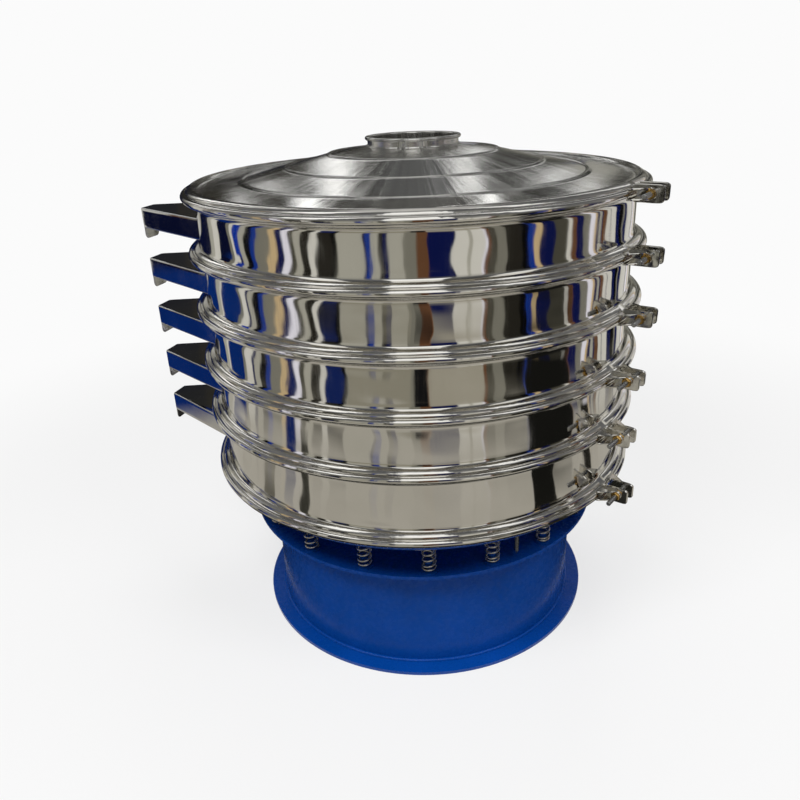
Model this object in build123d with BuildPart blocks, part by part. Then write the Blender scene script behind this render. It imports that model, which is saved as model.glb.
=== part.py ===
from build123d import *
from math import cos, degrees, radians, sin, sqrt
import os

# Clamped joints between the tiers: levels above the floor and the V-shaped section of the bands
table_joint_z = 409
bottom_tier_height = 141
tier_height = 119
tier_count = 5
flange_r = 492
band_reach = 8
band_leg_width = 24
band_sheet = 2.5
band_face = 16
band_height = 36
band_face_fillet = 4
band_clearance = 0.3
seat_gap = 0.3
gasket_height = 8
gasket_inset = 2
gasket_wall_gap = 1.5

# Sieve frames, screens and ball trays; rings of holes and balls are at shares of the tray's radius
flange_width = 19.5
wall_sheet = 2
screen_ring_height = 4
screen_ring_width = 34
screen_ring_inset = 4
mesh_thickness = 1
mesh_margin = 3
tray_depth = 26
tray_sheet = 1.5
tray_hole_r = 9
tray_hole_rings = {0.2: 6, 0.4: 12, 0.6: 18, 0.8: 24}
ball_r = 10
ball_rings = {0.1: 3, 0.5: 9, 0.7: 12}

# Lid, with three rolled steps at shares of its rim's radius, and its inlet
lid_sheet = 2
lid_rim_inset = 8.5
lid_rim_height = 9
lid_step_shares = [0.804, 0.599, 0.394]
lid_step_heights = [17, 38, 60]
step_height = 4
step_width = 14
lid_hole_height = 74
inlet_r = 98
inlet_sheet = 2.5
inlet_height = 94
inlet_depth = 4
inlet_lip = 4

# Side outlets: corners seen from above, x from the wall's left end, and heights below the joint above
outlet_root_front = (24.5, -112)
outlet_tip_front = (-172.5, 81)
outlet_tip_back = (-157.5, 132)
outlet_root_back = (47.5, 147.5)
outlet_sheet = 2
outlet_top_drop = 52
outlet_foot = 20
outlet_lip_drop = 26
outlet_lip_corner = 10
outlet_mouth = 62

# Clamp lugs and bolts, with the place of each clamp round its band
clamp_azimuths = [-34, -33, -33, -37, -39, -37]
clamp_gap = 24
lug_sheet = 6
lug_reach = 50
lug_height = 34
lug_corner = 9
lug_gusset_sheet = 3
lug_gusset_z = 9.5
lug_gusset_length = 34
clamp_bolt_r = 5
clamp_bolt_hole_r = 5.5
clamp_bolt_share = 0.52
clamp_bolt_tail = 34
clamp_nut_width = 17
bolt_head_height = 6.5
nut_height = 9

# Base: a spool with a floor flange and a top flange
base_flange_width = 37
base_flange_sheet = 8
base_inset = 22
base_sheet = 6
base_top_z = 279
base_top_margin = 24
base_top_width = 94
base_top_sheet = 8

# Springs, their locating pins and the stop studs
spring_count = 18
spring_azimuth = -88.7
spring_inset = 72.5
spring_coil_r = 13.5
spring_wire_r = 2.5
spring_pitch = 14
spring_pad_r = 19
lower_pad_height = 3
upper_pad_height = 10
spring_pin_r = 8.5
spring_pin_length = 22
spring_end_gap = 0.3
stud_count = 3
stud_azimuth = -61.5
stud_margin = 14
stud_r = 5
stud_length = 103
stud_point = 8

# Vibrating table and the discharge dome over the motor
table_sheet = 12
table_skirt_inset = 1
table_skirt_sheet = 6
table_skirt_height = 12
dome_sheet = 2.5
dome_top_rise = 102
dome_top_r = 60

# Vibration motor: body, stator, covers, shaft, rotor and weights
motor_r = 105
motor_wall = 12
motor_bottom_z = 246
motor_top_z = 440
motor_flange_r = 165
motor_flange_sheet = 16
motor_hole_gap = 2
motor_bolt_circle_r = 140
motor_bolt_count = 8
motor_bolt_r = 8
motor_nut_height = 13
motor_nut_width = 24
cover_sheet = 14
cap_sheet = 2.5
bearing_height = 16
bearing_r = 42
stator_r = 66
core_r = 64
core_length = 110
shaft_r = 20
running_fit = 0.05
shaft_bottom_z = 180
shaft_top_z = 490
weight_r = 92
weight_sheet = 22
weight_hub_r = 34
weight_gap = 3
box_length = 54
box_width = 90
box_tall = 70
box_depth = 12
box_corner = 7

# Hand hole and cable gland in the base wall, at the back
hand_hole_width = 180
hand_hole_height = 110
hand_hole_z = 140
hand_cover_margin = 22
hand_cover_sheet = 4
hand_cover_corner = 36
hand_screw_x = 74
hand_screw_z = 52
hand_screw_r = 4
hand_screw_head_r = 8
hand_screw_length = 24
wall_cut = 36
gland_azimuth = 135
gland_z = 90
gland_bore_r = 6
gland_r = 11
gland_nut_width = 32
gland_length = 34
gland_nut_height = 12
gland_inside = 12

os.makedirs("parts", exist_ok=True)

# Radii that follow from the joint flange: outwards to the clamps, inwards to the wall, springs and base
band_r = flange_r + band_reach
band_leg_r = band_r - band_leg_width
lug_r = band_r + lug_reach
clamp_bolt_centre_r = band_r + clamp_bolt_share * lug_reach
wall_r = flange_r - flange_width
wall_inner_r = wall_r - wall_sheet
gasket_outer_r = flange_r - gasket_inset
gasket_inner_r = wall_r + gasket_wall_gap
screen_ring_r = gasket_outer_r - screen_ring_inset
table_skirt_r = wall_r - table_skirt_inset
spring_circle_r = wall_r - spring_inset
stud_circle_r = spring_circle_r + stud_margin
base_top_r = spring_circle_r + base_top_margin
base_top_inner_r = base_top_r - base_top_width
base_r = spring_circle_r - base_inset
base_flange_r = base_r + base_flange_width
leg_slope = (band_height - band_face) / 2 / band_leg_width
leg_stretch = sqrt(1 + leg_slope**2)
half_gasket = gasket_height / 2
tray_r = screen_ring_r - screen_ring_width
joint_levels = [table_joint_z, table_joint_z + bottom_tier_height]
for tier in range(tier_count - 1):
    joint_levels.append(joint_levels[-1] + tier_height)
joint_levels.reverse()
lid_joint_z = joint_levels[0]
table_top_z = table_joint_z - half_gasket
table_under_z = table_top_z - table_sheet
outlet_height = tier_height - outlet_top_drop - outlet_foot


def export(piece, label):
    """Label a finished piece and write its own file."""
    piece.label = label
    export_step(piece, f"parts/{label}.step")


def leg_height(radius, depth=0):
    """Height of a band leg over its joint at a radius, at a depth under the leg's outer face."""
    return band_face / 2 + (band_r - radius) * leg_slope - depth * leg_stretch


def flange_height(radius):
    """Height of a flange's sloped face over its joint, just clear of the band leg."""
    return leg_height(radius, band_sheet + band_clearance)


def upright_plane(azimuth):
    """Vertical plane through the machine's axis: local x is the radius, local y is the height."""
    turn = radians(azimuth)
    return Plane(origin=(0, 0, 0), x_dir=(cos(turn), sin(turn), 0), z_dir=(sin(turn), -cos(turn), 0))


def flat_plane(azimuth, level):
    """Level plane at a height, with its local x along a radius at an azimuth."""
    turn = radians(azimuth)
    return Plane(origin=(0, 0, level), x_dir=(cos(turn), sin(turn), 0), z_dir=(0, 0, 1))


def raised(points, level):
    """Outline of (radius, height) points, lifted to a level."""
    return [(radius, height + level) for radius, height in points]


def turned(points):
    """Solid of revolution about the machine's axis from a closed outline of (radius, height)."""
    with BuildPart() as solid:
        with BuildSketch(Plane.XZ):
            with BuildLine():
                Polyline(*points, close=True)
            make_face()
        revolve(axis=Axis.Z)
    return solid.part


def ring(inner, outer, low, high):
    """Plain round ring between two radii and two heights."""
    return turned([(inner, low), (outer, low), (outer, high), (inner, high)])


def hex_prism(width, height):
    """Hexagonal prism on the local XY plane, such as a bolt head or a nut."""
    with BuildPart() as prism:
        with BuildSketch():
            RegularPolygon(width / 2, 6, major_radius=False)
        extrude(amount=height)
        chamfer(prism.faces().sort_by(Axis.Z)[-1].edges(), width / 24)
    return prism.part


# Places of the hand hole's screws, each a plane across the screw on the face of the cover
cover_face_r = base_r + seat_gap + hand_cover_sheet
screw_way = (hand_screw_x, sqrt(cover_face_r**2 - hand_screw_x**2))
screw_places = [Plane(origin=(side * screw_way[0], screw_way[1], hand_hole_z + level * hand_screw_z),
                      z_dir=(side * screw_way[0], screw_way[1], 0)) for side in (-1, 1) for level in (-1, 1)]


def around_springs():
    """Places of the springs round the machine."""
    return PolarLocations(spring_circle_r, spring_count, start_angle=spring_azimuth)


def spring_seats(pad_z, pad_height, pin_z):
    """Round pads between two heights, each with a pin that keeps its spring in place."""
    with BuildPart() as seats:
        with BuildSketch(Plane.XY.offset(pad_z)):
            with around_springs():
                Circle(spring_pad_r)
        extrude(amount=pad_height)
        with BuildSketch(Plane.XY.offset(pin_z)):
            with around_springs():
                Circle(spring_pin_r)
        extrude(amount=spring_pin_length)
    return seats.part


# Base spool, welded from a floor ring, a wall and a top ring, with the lower spring seats on it
base_wall_top_z = base_top_z - base_top_sheet
lower_pad_z = base_top_z + lower_pad_height
export(ring(base_r, base_flange_r, 0, base_flange_sheet), "base_floor_ring")
export(ring(base_top_inner_r, base_top_r, base_wall_top_z, base_top_z), "base_top_ring")
export(spring_seats(base_top_z, lower_pad_height, lower_pad_z), "lower_spring_seats")
with BuildPart() as base_wall:
    add(ring(base_r - base_sheet, base_r, 0, base_wall_top_z))
    with BuildSketch(Plane.XZ):
        with Locations((0, hand_hole_z)):
            SlotOverall(hand_hole_width, hand_hole_height)
    extrude(amount=-base_flange_r, mode=Mode.SUBTRACT)
    for place in screw_places:
        with BuildSketch(place):
            Circle(hand_screw_r + seat_gap)
        extrude(amount=-wall_cut, mode=Mode.SUBTRACT)
    gland_turn = radians(gland_azimuth)
    gland_out = (cos(gland_turn), sin(gland_turn), 0)
    gland_seat = Plane(origin=(gland_out[0] * base_r, gland_out[1] * base_r, gland_z), z_dir=gland_out)
    with BuildSketch(gland_seat.offset(base_sheet)):
        Circle(gland_r)
    extrude(amount=-wall_cut, mode=Mode.SUBTRACT)
export(base_wall.part, "base_wall")

# Hand hole cover: a curved plate that lies on the base wall, held by four screws
cover_width = hand_hole_width + 2 * hand_cover_margin
cover_height = hand_hole_height + 2 * hand_cover_margin
with BuildPart() as hand_hole_cover:
    add(ring(base_r + seat_gap, cover_face_r, hand_hole_z - cover_height, hand_hole_z + cover_height))
    with BuildSketch(Plane.XZ):
        with Locations((0, hand_hole_z)):
            RectangleRounded(cover_width, cover_height, hand_cover_corner)
    extrude(amount=-base_flange_r, mode=Mode.INTERSECT)
    for place in screw_places:
        with BuildSketch(place.offset(hand_cover_sheet)):
            Circle(hand_screw_r + seat_gap)
        extrude(amount=-wall_cut, mode=Mode.SUBTRACT)
export(hand_hole_cover.part, "hand_hole_cover")

with BuildPart() as hand_hole_screws:
    for place in screw_places:
        with BuildSketch(place.offset(seat_gap)):
            Circle(hand_screw_head_r)
        extrude(amount=hand_screw_r)
        with BuildSketch(place.offset(seat_gap)):
            Circle(hand_screw_r)
        extrude(amount=-hand_screw_length)
export(hand_hole_screws.part, "hand_hole_screws")

# Cable gland through the base wall; the cord itself isn't shown, so only its way in is made
with BuildPart() as cable_gland:
    with BuildSketch(gland_seat.offset(seat_gap)):
        RegularPolygon(gland_nut_width / 2, 6, major_radius=False)
    extrude(amount=gland_nut_height)
    with BuildSketch(gland_seat.offset(-gland_inside)):
        Circle(gland_r - seat_gap)
    extrude(amount=gland_length + gland_inside)
    with BuildSketch(gland_seat.offset(-gland_inside)):
        Circle(gland_bore_r)
    extrude(amount=gland_length + gland_inside, mode=Mode.SUBTRACT)
export(cable_gland.part, "cable_gland")

# Vibrating table, with the upper spring seats under it
upper_pad_z = table_under_z - upper_pad_height
motor_hole_r = motor_r + motor_hole_gap
with BuildPart() as vibrating_table:
    add(turned([
        (motor_hole_r, table_under_z), (wall_inner_r, table_under_z),
        (wall_r, table_joint_z - flange_height(wall_r)), (flange_r, table_joint_z - flange_height(flange_r)),
        (flange_r, table_top_z), (motor_hole_r, table_top_z)]))
    add(ring(table_skirt_r - table_skirt_sheet, table_skirt_r, table_under_z - table_skirt_height,
             table_under_z + table_skirt_sheet))
    with BuildSketch(Plane.XY.offset(table_under_z)):
        with PolarLocations(motor_bolt_circle_r, motor_bolt_count):
            Circle(motor_bolt_r + seat_gap)
    extrude(amount=table_sheet, mode=Mode.SUBTRACT)
export(vibrating_table.part, "vibrating_table")
export(spring_seats(upper_pad_z, upper_pad_height, upper_pad_z - spring_pin_length), "upper_spring_seats")

# Coil springs between the pads
spring_low = lower_pad_z + spring_end_gap + spring_wire_r
spring_high = upper_pad_z - spring_end_gap - spring_wire_r
with BuildPart() as spring:
    with BuildLine() as coil:
        Helix(spring_pitch, spring_high - spring_low, spring_coil_r, center=(0, 0, spring_low))
    with BuildSketch(Plane(origin=coil.line @ 0, z_dir=coil.line % 0)):
        Circle(spring_wire_r)
    sweep(is_frenet=True)
with BuildPart() as springs:
    with around_springs():
        add(spring.part)
export(springs.part, "springs")

# Stop studs that keep the table from dropping on the base
with BuildPart() as stop_studs:
    with PolarLocations(stud_circle_r, stud_count, start_angle=stud_azimuth):
        with Locations((0, 0, table_under_z - stud_length / 2 + stud_point / 2)):
            Cylinder(stud_r, stud_length - stud_point)
        with Locations((0, 0, table_under_z - stud_length + stud_point / 2)):
            Cone(stud_r / 4, stud_r, stud_point)
export(stop_studs.part, "stop_studs")

# Sieve frames: a wall with a V-flange at each end, and a window behind its outlet
outlet_corners = [(x - wall_r, y) for x, y in (outlet_root_front, outlet_tip_front, outlet_tip_back,
                                               outlet_root_back)]


def outlet_sketch(inset=0):
    """Outlet seen from above, with its sides and tip set in by the inset."""
    with BuildSketch() as outline:
        with BuildLine():
            Polyline(*outlet_corners, close=True)
        make_face()
        if inset:
            offset(amount=-inset, kind=Kind.INTERSECTION, mode=Mode.REPLACE)
    return outline.sketch


tip_x, tip_y = outlet_corners[1]
tip_way = Vector(*outlet_corners[2]) - Vector(tip_x, tip_y)
tip_in = tip_way.cross(Vector(0, 0, 1))
for tier in range(1, tier_count + 1):
    upper_z = joint_levels[tier - 1]
    lower_z = joint_levels[tier]
    outlet_low_z = upper_z - outlet_top_drop - outlet_height
    with BuildPart() as frame:
        add(turned([
            (wall_inner_r, lower_z + half_gasket), (flange_r, lower_z + half_gasket),
            (flange_r, lower_z + flange_height(flange_r)), (wall_r, lower_z + flange_height(wall_r)),
            (wall_r, upper_z - flange_height(wall_r)), (flange_r, upper_z - flange_height(flange_r)),
            (flange_r, upper_z - half_gasket), (wall_inner_r, upper_z - half_gasket)]))
        with BuildSketch(Plane.XY.offset(outlet_low_z + outlet_sheet)):
            add(outlet_sketch(outlet_sheet))
        extrude(amount=outlet_height - 2 * outlet_sheet, mode=Mode.SUBTRACT)
    export(frame.part, f"frame_{tier}")

    # Outlet: a tapering box with an open mouth under its tip, and a lip that turns the flow down
    tip_plane = Plane(origin=(tip_x, tip_y, outlet_low_z), x_dir=tip_way, z_dir=tip_in)
    with BuildPart() as outlet:
        with BuildSketch(Plane.XY.offset(outlet_low_z)):
            add(outlet_sketch())
        extrude(amount=outlet_height)
        with BuildSketch(Plane.XY.offset(outlet_low_z + outlet_sheet)):
            add(outlet_sketch(outlet_sheet))
        extrude(amount=outlet_height - 2 * outlet_sheet, mode=Mode.SUBTRACT)
        with BuildSketch(Plane.XY.offset(outlet_low_z)):
            add(outlet_sketch(outlet_sheet))
            with Locations((tip_x + outlet_mouth, 0)):
                Rectangle(band_r, band_r, align=(Align.MIN, Align.CENTER), mode=Mode.SUBTRACT)
        extrude(amount=outlet_sheet, mode=Mode.SUBTRACT)
        with BuildSketch(tip_plane):
            with Locations((tip_way.length / 2, -outlet_lip_drop / 2)):
                RectangleRounded(tip_way.length, outlet_lip_drop, outlet_lip_corner)
            with Locations((tip_way.length / 2, 0)):
                Rectangle(tip_way.length, outlet_lip_drop - outlet_lip_corner, align=(Align.CENTER, Align.MAX))
        extrude(amount=outlet_sheet)
        with Locations((0, 0, outlet_low_z - outlet_lip_drop)):
            Cylinder(wall_r + seat_gap, tier_height, align=(Align.CENTER, Align.CENTER, Align.MIN),
                     mode=Mode.SUBTRACT)
    export(outlet.part, f"outlet_{tier}")

# Screens between the tiers, each with its mesh and ball tray
half_ring = screen_ring_height / 2
for tier in range(1, tier_count):
    level = joint_levels[tier]
    export(ring(tray_r, screen_ring_r, level - half_ring, level + half_ring), f"screen_ring_{tier}")
    mesh_low = level + half_ring
    export(ring(0, wall_inner_r - mesh_margin, mesh_low, mesh_low + mesh_thickness), f"screen_mesh_{tier}")
    tray_low = level - half_ring - tray_depth
    with BuildPart() as ball_tray:
        add(ring(tray_r, tray_r + tray_sheet, tray_low, tray_low + tray_depth))
        add(ring(0, tray_r + tray_sheet, tray_low, tray_low + tray_sheet))
        with BuildSketch(Plane.XY.offset(tray_low)):
            for share, holes in tray_hole_rings.items():
                with PolarLocations(share * tray_r, holes):
                    Circle(tray_hole_r)
        extrude(amount=tray_sheet, mode=Mode.SUBTRACT)
    export(ball_tray.part, f"ball_tray_{tier}")

with BuildPart() as rubber_balls:
    for tier in range(1, tier_count):
        ball_z = joint_levels[tier] - half_ring - tray_depth + tray_sheet + ball_r
        for share, balls in ball_rings.items():
            with Locations((0, 0, ball_z)):
                with PolarLocations(share * tray_r, balls):
                    Sphere(ball_r)
export(rubber_balls.part, "rubber_balls")

# Grooved gaskets round the screen rings, and flat ones at the lid and at the table
groove_r = screen_ring_r + seat_gap
grooved = [(gasket_inner_r, -half_gasket), (gasket_outer_r, -half_gasket), (gasket_outer_r, half_gasket),
           (gasket_inner_r, half_gasket), (gasket_inner_r, half_ring), (groove_r, half_ring),
           (groove_r, -half_ring), (gasket_inner_r, -half_ring)]
with BuildPart() as screen_gaskets:
    for level in joint_levels[1:-1]:
        add(turned(raised(grooved, level)))
export(screen_gaskets.part, "screen_gaskets")
with BuildPart() as end_gaskets:
    for level in (lid_joint_z, table_joint_z):
        add(ring(gasket_inner_r, gasket_outer_r, level - half_gasket, level + half_gasket))
export(end_gaskets.part, "end_gaskets")

# Discharge dome over the motor: it stands on the table, its rim level with the last outlet's floor
dome_r = wall_inner_r - seat_gap
dome_rim_z = joint_levels[-2] - outlet_top_drop - outlet_height
dome_top_z = table_joint_z + dome_top_rise
export(turned([
    (dome_r - dome_sheet, table_top_z), (dome_r, table_top_z), (dome_r, dome_rim_z), (dome_top_r, dome_top_z),
    (0, dome_top_z), (0, dome_top_z - dome_sheet), (dome_top_r, dome_top_z - dome_sheet),
    (dome_r - dome_sheet, dome_rim_z - dome_sheet)]), "discharge_dome")

# Lid: its V-flange, a sunk rim and three rolled steps up to the inlet hole
lid_hole_r = inlet_r + seat_gap
lid_rim_r = wall_r - lid_rim_inset
lid_flange_r = band_leg_r - lid_sheet
lid_bend_r = lid_flange_r - 2 * lid_sheet
lid_top = [(flange_r, half_gasket), (flange_r, flange_height(flange_r)),
           (lid_flange_r, flange_height(lid_flange_r)), (lid_bend_r, flange_height(lid_flange_r)),
           (lid_rim_r, lid_rim_height)]
lid_under = [(lid_bend_r, half_gasket), (lid_rim_r, lid_rim_height - lid_sheet)]
for share, height in zip(lid_step_shares, lid_step_heights):
    radius = share * lid_rim_r
    for reach, rise in ((1 / 2, 0), (1 / 6, 1), (-1 / 6, 1), (-1 / 2, 1 / 2)):
        lid_top.append((radius + reach * step_width, height + rise * step_height))
        lid_under.append((radius + reach * step_width, height + rise * step_height - lid_sheet))
lid_top.append((lid_hole_r, lid_hole_height))
lid_under.append((lid_hole_r, lid_hole_height - lid_sheet))
export(turned(raised(lid_top + lid_under[::-1], lid_joint_z)), "lid")

# Inlet collar with a rolled lip, through the lid's hole
inlet_top_z = lid_joint_z + inlet_height
inlet_low_z = lid_joint_z + lid_hole_height - lid_sheet - inlet_depth
with BuildPart() as inlet_collar:
    with BuildSketch(Plane.XZ):
        with Locations((inlet_r - inlet_sheet, inlet_low_z)):
            Rectangle(inlet_sheet, inlet_top_z - inlet_low_z - inlet_lip, align=(Align.MIN, Align.MIN))
        with Locations((inlet_r - inlet_sheet + inlet_lip, inlet_top_z - inlet_lip)):
            Circle(inlet_lip)
    revolve(axis=Axis.Z)
export(inlet_collar.part, "inlet_collar")

# Clamp bands: a V-shaped hoop, open at its bolt, with a lug welded on each end
half_gap = clamp_gap / 2
gap_turn = degrees(half_gap / band_r)
leg_end_z = leg_height(band_leg_r)
leg_end_inner_z = leg_height(band_leg_r, band_sheet)
face_inner_r = band_r - band_sheet
face_inner_z = leg_height(face_inner_r, band_sheet)
hoop = [(band_leg_r, leg_end_z), (band_r, band_face / 2), (band_r, -band_face / 2), (band_leg_r, -leg_end_z),
        (band_leg_r, -leg_end_inner_z), (face_inner_r, -face_inner_z), (face_inner_r, face_inner_z),
        (band_leg_r, leg_end_inner_z)]
lug_face_r = band_r - band_sheet / 2
lug_face_z = leg_height(lug_face_r, band_sheet / 2)
lug_root_r = (band_leg_r + band_r) / 2
lug_root_z = leg_height(lug_root_r, band_sheet / 2)
lug_half = lug_height / 2
lug = [(lug_face_r, lug_face_z), (lug_root_r, lug_root_z), (lug_root_r + lug_corner, lug_half),
       (lug_r - lug_corner, lug_half), (lug_r, lug_half - lug_corner), (lug_r, lug_corner - lug_half),
       (lug_r - lug_corner, -lug_half), (lug_root_r + lug_corner, -lug_half), (lug_root_r, -lug_root_z),
       (lug_face_r, -lug_face_z)]
gusset_r = band_r - (lug_gusset_z + lug_gusset_sheet / 2 - band_face / 2) / leg_slope - band_sheet / 2
for joint, azimuth in enumerate(clamp_azimuths):
    level = joint_levels[joint]
    with BuildPart() as clamp_band:
        with BuildSketch(upright_plane(azimuth + gap_turn)) as section:
            with BuildLine():
                Polyline(*raised(hoop, level), close=True)
            make_face()
            fillet(section.vertices().group_by(Axis.X)[-1], band_face_fillet)
        revolve(axis=Axis.Z, revolution_arc=360 - 2 * gap_turn)
        for side in (-1, 1):
            with BuildSketch(upright_plane(azimuth).offset(-side * half_gap)):
                with BuildLine():
                    Polyline(*raised(lug, level), close=True)
                make_face()
                with Locations((clamp_bolt_centre_r, level)):
                    Circle(clamp_bolt_hole_r, mode=Mode.SUBTRACT)
            extrude(amount=-side * lug_sheet)
            gusset_start = side * (half_gap + lug_sheet / 2)
            gusset_end = side * (half_gap + lug_gusset_length)
            for height in (lug_gusset_z, -lug_gusset_z - lug_gusset_sheet):
                with BuildSketch(flat_plane(azimuth, level + height)):
                    with BuildLine():
                        Polyline((gusset_r, gusset_start), (lug_r - lug_corner, gusset_start),
                                 (lug_r - 2 * lug_corner, gusset_start + side * lug_corner),
                                 (gusset_r + lug_sheet, gusset_end), (gusset_r, gusset_end), close=True)
                    make_face()
                extrude(amount=lug_gusset_sheet)
    export(clamp_band.part, f"clamp_band_{joint + 1}")


def clamp_plane(joint, along):
    """Plane across a clamp bolt, at a distance along it towards the back of the machine."""
    turn = radians(clamp_azimuths[joint])
    centre = (clamp_bolt_centre_r * cos(turn), clamp_bolt_centre_r * sin(turn), joint_levels[joint])
    return Plane(origin=centre, z_dir=(-sin(turn), cos(turn), 0)).offset(along)


lug_outside = half_gap + lug_sheet
with BuildPart() as clamp_bolts:
    for joint in range(tier_count + 1):
        with BuildSketch(clamp_plane(joint, -lug_outside - nut_height - clamp_bolt_tail)):
            Circle(clamp_bolt_r)
        extrude(amount=clamp_bolt_tail + nut_height + 2 * lug_outside)
        with Locations(clamp_plane(joint, lug_outside).location):
            add(hex_prism(clamp_nut_width, bolt_head_height))
export(clamp_bolts.part, "clamp_bolts")

with BuildPart() as clamp_nuts:
    for joint in range(tier_count + 1):
        with Locations(clamp_plane(joint, -lug_outside - nut_height).location):
            add(hex_prism(clamp_nut_width, nut_height))
        with BuildSketch(clamp_plane(joint, -lug_outside - nut_height)):
            Circle(clamp_bolt_r + running_fit)
        extrude(amount=nut_height, mode=Mode.SUBTRACT)
export(clamp_nuts.part, "clamp_nuts")

# Motor body, welded into the mounting flange that hangs it under the table
flange_low_z = table_under_z - motor_flange_sheet
motor_bore_r = motor_r - motor_wall
export(ring(motor_bore_r, motor_r, motor_bottom_z, motor_top_z), "motor_body")
with BuildPart() as motor_flange:
    add(ring(motor_r, motor_flange_r, flange_low_z, table_under_z))
    with BuildSketch(Plane.XY.offset(flange_low_z)):
        with PolarLocations(motor_bolt_circle_r, motor_bolt_count):
            Circle(motor_bolt_r + seat_gap)
    extrude(amount=motor_flange_sheet, mode=Mode.SUBTRACT)
export(motor_flange.part, "motor_flange")

with BuildPart() as motor_bolts:
    with BuildSketch(Plane.XY.offset(flange_low_z)):
        with PolarLocations(motor_bolt_circle_r, motor_bolt_count):
            Circle(motor_bolt_r)
    extrude(amount=motor_flange_sheet + table_sheet)
    for place in (flange_low_z - motor_nut_height, table_top_z):
        with Locations((0, 0, place)):
            with PolarLocations(motor_bolt_circle_r, motor_bolt_count):
                add(hex_prism(motor_nut_width, motor_nut_height))
export(motor_bolts.part, "motor_bolts")

# Covers that close the motor body and hold its two bearings
bottom_cover_z = motor_bottom_z - cover_sheet
top_cover_z = motor_top_z + cover_sheet
with BuildPart() as motor_top_cover:
    add(ring(bearing_r + running_fit, motor_r, motor_top_z, top_cover_z))
    add(ring(shaft_r + motor_hole_gap, bearing_r + cover_sheet, top_cover_z, top_cover_z + cap_sheet))
export(motor_top_cover.part, "motor_top_cover")
with BuildPart() as motor_bottom_cover:
    add(ring(bearing_r + running_fit, motor_r, bottom_cover_z, motor_bottom_z))
    add(ring(shaft_r + motor_hole_gap, bearing_r + cover_sheet, bottom_cover_z - cap_sheet, bottom_cover_z))
export(motor_bottom_cover.part, "motor_bottom_cover")

with BuildPart() as motor_bearings:
    add(ring(shaft_r + running_fit, bearing_r, top_cover_z - bearing_height, top_cover_z))
    add(ring(shaft_r + running_fit, bearing_r, bottom_cover_z, bottom_cover_z + bearing_height))
export(motor_bearings.part, "motor_bearings")

core_low_z = (motor_bottom_z + motor_top_z - core_length) / 2
export(ring(stator_r, motor_bore_r - seat_gap, core_low_z, core_low_z + core_length), "motor_stator")
export(ring(shaft_r + running_fit, core_r, core_low_z, core_low_z + core_length), "rotor_core")
export(ring(0, shaft_r, shaft_bottom_z, shaft_top_z), "rotor_shaft")

# Terminal box on the motor's side
with BuildPart() as terminal_box:
    with Locations((-motor_r + box_depth, 0, motor_bottom_z + box_tall / 2)):
        Box(box_length + box_depth, box_width, box_tall, align=(Align.MAX, Align.CENTER, Align.CENTER))
    fillet(terminal_box.edges().filter_by(Axis.X), box_corner)
    with Locations((0, 0, motor_bottom_z + box_tall / 2)):
        Cylinder(motor_r + seat_gap, box_tall * 2, mode=Mode.SUBTRACT)
export(terminal_box.part, "terminal_box")


def eccentric_weight(low, label):
    """Half-disc weight with a hub round the shaft, at a height, on the +X side."""
    with BuildPart() as weight:
        with BuildSketch(Plane.XY.offset(low)):
            Circle(weight_r)
            with Locations((-shaft_r / 2, 0)):
                Rectangle(weight_r * 2, weight_r * 2, align=(Align.MAX, Align.CENTER), mode=Mode.SUBTRACT)
            Circle(weight_hub_r)
            Circle(shaft_r + running_fit, mode=Mode.SUBTRACT)
        extrude(amount=weight_sheet)
    export(weight.part, label)


lower_weight_z = bottom_cover_z - cap_sheet - weight_gap - weight_sheet
eccentric_weight(top_cover_z + cap_sheet + weight_gap, "upper_weight")
eccentric_weight(lower_weight_z, "lower_fixed_weight")
eccentric_weight(lower_weight_z - seat_gap - weight_sheet, "lower_turning_weight")
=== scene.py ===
import bpy
import numpy as np
from mathutils import Matrix, Vector


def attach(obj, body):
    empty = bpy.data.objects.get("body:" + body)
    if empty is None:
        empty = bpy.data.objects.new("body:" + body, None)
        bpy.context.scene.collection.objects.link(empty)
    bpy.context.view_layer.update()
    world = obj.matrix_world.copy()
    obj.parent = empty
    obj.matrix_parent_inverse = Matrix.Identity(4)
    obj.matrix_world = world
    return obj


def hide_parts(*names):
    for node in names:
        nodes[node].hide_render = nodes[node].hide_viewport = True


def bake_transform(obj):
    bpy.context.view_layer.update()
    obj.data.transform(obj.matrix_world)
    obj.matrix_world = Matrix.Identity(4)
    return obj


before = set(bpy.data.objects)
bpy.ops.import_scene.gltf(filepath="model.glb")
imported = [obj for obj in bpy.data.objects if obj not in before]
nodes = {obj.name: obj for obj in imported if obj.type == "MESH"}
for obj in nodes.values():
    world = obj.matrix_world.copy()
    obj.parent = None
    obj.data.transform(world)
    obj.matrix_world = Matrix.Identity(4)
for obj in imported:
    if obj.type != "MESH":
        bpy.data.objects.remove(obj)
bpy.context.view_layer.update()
mm = 0.001
print("frame loaded,", len(nodes), "nodes")


def linear(colour):
    # sRGB hex to linear: c / 12.92 under 0.04045, otherwise ((c + 0.055) / 1.055) to the power 2.4
    parts = [int(colour[i:i + 2], 16) / 255 for i in (1, 3, 5)]
    return tuple(c / 12.92 if c <= 0.04045 else ((c + 0.055) / 1.055) ** 2.4 for c in parts) + (1.0,)


def addNode(tree, kind, settings=None, inputs=None):
    # one node with its settings; an input is a value, or a socket that gets linked to it
    node = tree.nodes.new(kind)
    for key, value in (settings or {}).items():
        setattr(node, key, value)
    for key, value in (inputs or {}).items():
        if isinstance(value, bpy.types.NodeSocket):
            tree.links.new(value, node.inputs[key])
        else:
            node.inputs[key].default_value = value
    return node


def setRamp(node, stops):
    # colour ramp stops as (place, hex colour)
    elements = node.color_ramp.elements
    while len(elements) < len(stops):
        elements.new(0.5)
    for element, (place, colour) in zip(elements, stops):
        element.position = place
        element.color = linear(colour)
    return node.outputs["Color"]


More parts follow.
